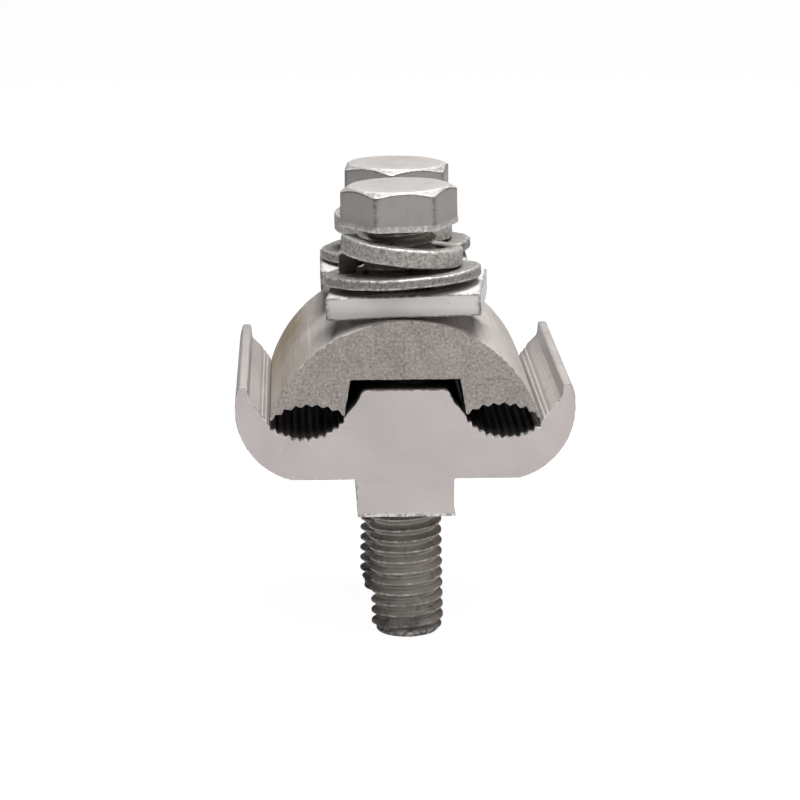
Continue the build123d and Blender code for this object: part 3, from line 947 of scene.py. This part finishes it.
class CLAMP_OT_spring_washers(bpy.types.Operator):
    """Builds the two split spring washers: one left-hand turn of square bar, cut through"""
    bl_idname = "clamp.spring_washers"
    bl_label = "Spring washers"

    def execute(self, context):
        size = settings().hardware
        material = zinc_finish(settings().finish, "spring_zinc", 1.2)
        middle = -size.spring_rise / 2
        half = size.spring_height / 2
        section = bar_section(size.spring_radius - size.spring_width, size.spring_radius, middle - half,
                              middle + half, size.spring_round)
        for name, stack in STACKS.items():
            bm = bmesh.new()
            turned(bm, section_loop(bm, section), size.spring_cut - 2 * pi, steps=112, rise=size.spring_rise)
            cuts = bmesh.ops.holes_fill(bm, edges=bm.edges)["faces"]
            sawn = bm.verts.layers.float.new("cut")
            for face in cuts:
                for vert in face.verts:
                    vert[sawn] = 1.0
            bmesh.ops.recalc_face_normals(bm, faces=bm.faces)
            uneven(bm, *stack["spring_uneven"])
            turn = stack["spring_turn"] - size.spring_cut * 90 / pi
            placed(bm, name + "_spring_washer", stack["spring_lean"], turn)
            piece(name + "_spring", bm, material, "keeper", name + "_spring_washer",
                  smooth=50.0)
        return {"FINISHED"}


def thread_line(size):
    """Radii and heights along the thread's section, from below the end up into the head."""
    shape = [(0.00, 0.0), (0.07, 0.0), (0.19, 0.35), (0.33, 0.78), (0.45, 1.0), (0.55, 1.0), (0.67, 0.78),
             (0.81, 0.35), (0.93, 0.0)]
    turns = int(size.bolt_length / size.thread_pitch) + 3
    depth = size.thread_crest - size.thread_root
    start = -size.bolt_length - 1.5 * size.thread_pitch
    return [(size.thread_crest - depth * down, start + (turn + share) * size.thread_pitch, down)
            for turn in range(turns) for share, down in shape]


def threaded_shank(size, stack):
    """The rolled thread: its section screwed once round, chamfered and cut flat at the end."""
    into_head = 0.3 * MM
    bm = bmesh.new()
    thread = bm.verts.layers.float.new("thread")
    root = bm.verts.layers.float.new("root")
    bm.verts.layers.float.new("rim")
    bm.verts.layers.float.new("shade_line")
    verts = []
    for radius, height, down in thread_line(size):
        vert = bm.verts.new((radius, 0, height))
        vert[thread] = 1.0
        vert[root] = down
        verts.append(vert)
    edges = [bm.edges.new(pair) for pair in zip(verts, verts[1:])]
    turned(bm, verts + edges, 2 * pi, steps=72, rise=size.thread_pitch)
    bmesh.ops.remove_doubles(bm, verts=bm.verts, dist=1e-6)
    turn = Matrix.Rotation(radians(stack["thread_turn"]), 3, "Z")
    bmesh.ops.rotate(bm, cent=(0, 0, 0), matrix=turn, verts=bm.verts)
    for vert in bm.verts:
        radius = hypot(vert.co.x, vert.co.y)
        above = max(0.0, vert.co.z + size.bolt_length - stack["end_plain"] * MM)
        limit = stack["end_radius"] * MM + above
        wear = 1 - 0.010 * max(0.0, noise.noise(vert.co * PER_MM * 0.7))
        if radius * wear > limit:
            vert[root] = 0.0
        share = min(radius * wear, limit) / radius
        vert.co.x *= share
        vert.co.y *= share
    for level, up in ((-size.bolt_length, -1), (into_head, 1)):
        bmesh.ops.bisect_plane(bm, geom=bm.verts[:] + bm.edges[:] + bm.faces[:], dist=1e-8,
                               plane_co=(0, 0, level), plane_no=(0, 0, up), clear_outer=True)
        bmesh.ops.holes_fill(bm, edges=[edge for edge in bm.edges if edge.is_boundary and all(
            abs(vert.co.z - level) < 1e-6 for vert in edge.verts)])
    bmesh.ops.recalc_face_normals(bm, faces=bm.faces)
    return bm


def off_flat(a):
    """Angle between direction a and the middle of the hexagon's nearest side."""
    return abs(a % (pi / 3) - pi / 6)


def hexagon(a, flat, corner):
    """Radius in direction a of a hexagon whose corners are worn in, from 24 to 30 degrees."""
    off = off_flat(a)
    return flat / cos(off) - corner * max(0.0, (off - radians(24)) / radians(6)) ** 2


# Stands in place of the wear of a head's ring that carries a thin painted shade line
SHADE_LINE = -1.0


def ring_edges(ring):
    """The open edges that join the points of a ring."""
    return [edge for edge in {edge for vert in ring for edge in vert.link_edges}
            if len(edge.link_faces) < 2 and all(vert in ring for vert in edge.verts)]


def forged_head(bm, size):
    """Adds the head to a bmesh: hexagon sides, conical chamfer, flat top and a bottom flash."""
    layer = bm.verts.layers.float["rim"]
    shade_line = bm.verts.layers.float["shade_line"]
    segments = 120
    flat = size.head_flats / 2
    top = flat * 0.965
    full = size.head_height
    slope = tan(size.head_chamfer)
    # Share of the hexagon, round radius and mm out; share of the chamfer's edge, height and mm up; wear,
    # which also brings a painted highlight
    rings = (
        (0, size.thread_crest * 0.9, 0, 0, 0, 0, 0.0),
        (1, 0, -0.55, 0, 0, -0.02, 0.1),
        (1, 0, 0.03, 0, 0, 0.10, 1.0),
        (1, 0, 0.10, 0, 0, 0.42, 1.0),
        (1, 0, 0.04, 0, 0, 0.78, 0.8),
        (1, 0, 0, 0, 0, 1.0, 0.0),
        (1, 0, 0, 0, full / 2, 0, 0.0),
        (1, 0, 0, 1, 0, -0.32, 0.0),
        (1, 0, -0.01, 1, 0, -0.14, SHADE_LINE),
        (1, 0, -0.09, 1, 0, 0, 1.0),
        (0.5, top / 2, -0.12, 0.5, full / 2, -0.01, 0.35),
        (0, top, -0.12, 0, full, -0.03, 0.6),
        (0, top, -0.42, 0, full, 0, 0.15),
        (0, top / 2, 0, 0, full, 0.01, 0.0),
    )
    first = bmesh.ops.create_circle(bm, segments=segments, radius=1.0, cap_ends=False)["verts"]
    angles = [atan2(vert.co.y, vert.co.x) for vert in first]
    ring = first
    head = []
    for number, (share, radius, out, slant, height, up, wear) in enumerate(rings):
        if number:
            grown = bmesh.ops.extrude_edge_only(bm, edges=ring_edges(ring))["geom"]
            order = {}
            for vert in (item for item in grown if isinstance(item, bmesh.types.BMVert)):
                for edge in vert.link_edges:
                    other = edge.other_vert(vert)
                    if other in ring:
                        order[ring.index(other)] = vert
            ring = [order[index] for index in range(segments)]
        for vert, a in zip(ring, angles):
            side = hexagon(a, flat, size.head_round)
            reach = share * side + radius + out * MM
            vert.co = Vector((reach * cos(a), reach * sin(a),
                              slant * (full - slope * (side - top)) + height + up * MM))
            # The hexagon's corners get a painted highlight on their rim and, on the upright rings, a painted
            # shade line.
            corner = max(0.0, 1 - (pi / 6 - off_flat(a)) / radians(3.5))
            upright = wear == 0.0
            vert[layer] = max(wear, (0.15 if upright else 0.6) * corner)
            vert[shade_line] = 1.0 if wear == SHADE_LINE else (0.8 * corner if upright else 0.0)
        head += ring
    for loop in (first, ring):
        bmesh.ops.holes_fill(bm, edges=ring_edges(loop))
    return head


class CLAMP_OT_bolts(bpy.types.Operator):
    """Builds the two hexagon bolts, threaded to the head"""
    bl_idname = "clamp.bolts"
    bl_label = "Bolts"

    def execute(self, context):
        size = settings().hardware
        material = bolt_finish(settings().finish)
        for name, stack in STACKS.items():
            joint = bolt_joints()[name + "_bolt"]
            axis = Vector(joint["axis"]).normalized()
            lean = atan2(axis.x, axis.z)
            low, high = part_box(name + "_bolt")
            under = high.z - size.head_height * cos(lean) - size.head_flats * 0.485 * abs(sin(lean))
            anchor = Vector(joint["pos_m"])
            seat = anchor + axis * ((under - anchor.z) / axis.z)
            bm = threaded_shank(size, stack)
            head = forged_head(bm, size)
            turn = Matrix.Rotation(radians(stack["head_turn"]), 3, "Z")
            bmesh.ops.rotate(bm, cent=(0, 0, 0), matrix=turn, verts=head)
            bmesh.ops.recalc_face_normals(bm, faces=bm.faces)
            uneven(bm, *stack["bolt_uneven"])
            matrix = Matrix.Translation(seat) @ Matrix.Rotation(lean, 4, "Y")
            bmesh.ops.transform(bm, matrix=matrix, verts=bm.verts)
            piece(name + "_hexagon_bolt", bm, material, name + "_bolt", name + "_bolt",
                  smooth=42.0)
        return {"FINISHED"}


# ---------------------------------------------------------------- stage

def area_lamp(name, place, aim, width, height, power):
    """A soft box that looks at a point."""
    light = bpy.data.lights.new(name, "AREA")
    light.shape = "RECTANGLE"
    light.size = width
    light.size_y = height
    light.energy = power
    lamp = linked(name, light)
    lamp.location = place
    lamp.rotation_euler = (Vector(aim) - Vector(place)).to_track_quat("-Z", "Y").to_euler()


def white_world():
    """A pale surround that is plain white where the camera or a mirror sees it."""
    world = bpy.data.worlds.new("studio")
    bpy.context.scene.world = world
    tree = empty_tree(world)
    seen = node(tree, "ShaderNodeLightPath", output="Is Camera Ray")
    soft = node(tree, "ShaderNodeBackground", {}, {"Color": (0.93, 0.95, 1.0), "Strength": 0.05})
    white = node(tree, "ShaderNodeBackground", {}, {"Color": (1.0, 1.0, 1.0), "Strength": 1.0})
    mixed = node(tree, "ShaderNodeMixShader", {}, {0: seen, 1: soft, 2: white})
    node(tree, "ShaderNodeOutputWorld", {}, {"Surface": mixed})


def floor_finish():
    """A white floor that looks white to the camera and still takes the soft shadow."""
    material = bpy.data.materials.new("white_floor")
    tree = empty_tree(material)
    seen = node(tree, "ShaderNodeLightPath", output="Is Camera Ray")
    matte = node(tree, "ShaderNodeBsdfDiffuse", {}, {"Color": (0.6, 0.6, 0.6)})
    white = node(tree, "ShaderNodeEmission", {}, {"Color": (1.0, 1.0, 1.0), "Strength": 1.08})
    lifted = node(tree, "ShaderNodeMixShader", {}, {0: seen * 0.9, 1: matte, 2: white})
    node(tree, "ShaderNodeOutputMaterial", {}, {"Surface": lifted})
    return material


class CLAMP_OT_stage(bpy.types.Operator):
    """Sets the camera, the soft lamps, the pale surround and the floor"""
    bl_idname = "clamp.stage"
    bl_label = "Stage"

    def execute(self, context):
        stage = settings().stage
        scene = context.scene
        scene.view_settings.view_transform = "Standard"
        level = cos(stage.pitch)
        forward = Vector((sin(stage.yaw) * level, cos(stage.yaw) * level, -sin(stage.pitch)))
        right = Vector((cos(stage.yaw), -sin(stage.yaw), 0))
        upward = right.cross(forward)
        across = right * cos(stage.roll) + upward * sin(stage.roll)
        above = upward * cos(stage.roll) - right * sin(stage.roll)
        data = bpy.data.cameras.new("camera")
        data.lens = stage.lens
        data.sensor_width = SENSOR_WIDTH
        scene.camera = linked("camera", data)
        turn = Matrix((across, above, -forward)).transposed().to_4x4()
        scene.camera.matrix_world = Matrix.Translation(stage.eye) @ turn
        white_world()
        for name, numbers in LAMPS.items():
            area_lamp(name, *numbers)
        low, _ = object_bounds()
        bm = bmesh.new()
        bmesh.ops.create_grid(bm, x_segments=1, y_segments=1, size=FLOOR_HALF)
        bmesh.ops.translate(bm, vec=(0, 0, low.z - stage.floor_gap), verts=bm.verts)
        floor = mesh_object("floor", bm)
        bm.free()
        floor.data.materials.append(floor_finish())
        floor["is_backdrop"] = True
        return {"FINISHED"}


OPERATORS = (CLAMP_OT_lower_body, CLAMP_OT_keeper, CLAMP_OT_pressure_plates, CLAMP_OT_flat_washers,
             CLAMP_OT_spring_washers, CLAMP_OT_bolts, CLAMP_OT_stage)


class CLAMP_PT_panel(bpy.types.Panel):
    """Lists the clamp's pieces and its stage"""
    bl_idname = "CLAMP_PT_panel"
    bl_label = "Parallel groove clamp"
    bl_space_type = "VIEW_3D"
    bl_region_type = "UI"
    bl_category = "Clamp"

    def draw(self, context):
        for operator in OPERATORS:
            self.layout.operator(operator.bl_idname)


CLASSES = (TroughSettings, KeeperSettings, HardwareSettings, FinishSettings, StageSettings, ClampSettings,
           *OPERATORS, CLAMP_PT_panel)


def register():
    """Registers the classes and the settings."""
    for cls in CLASSES:
        bpy.utils.register_class(cls)
    bpy.types.Scene.parallel_groove_clamp = PointerProperty(type=ClampSettings)


def unregister():
    """Takes the settings and the classes away again."""
    del bpy.types.Scene.parallel_groove_clamp
    for cls in reversed(CLASSES):
        bpy.utils.unregister_class(cls)


def main():
    register()
    noise.seed_set(UNEVEN_SEED)
    bpy.ops.clamp.lower_body()
    bpy.ops.clamp.keeper()
    bpy.ops.clamp.pressure_plates()
    bpy.ops.clamp.flat_washers()
    bpy.ops.clamp.spring_washers()
    bpy.ops.clamp.bolts()
    bpy.ops.clamp.stage()


if __name__ == "__main__":
    main()
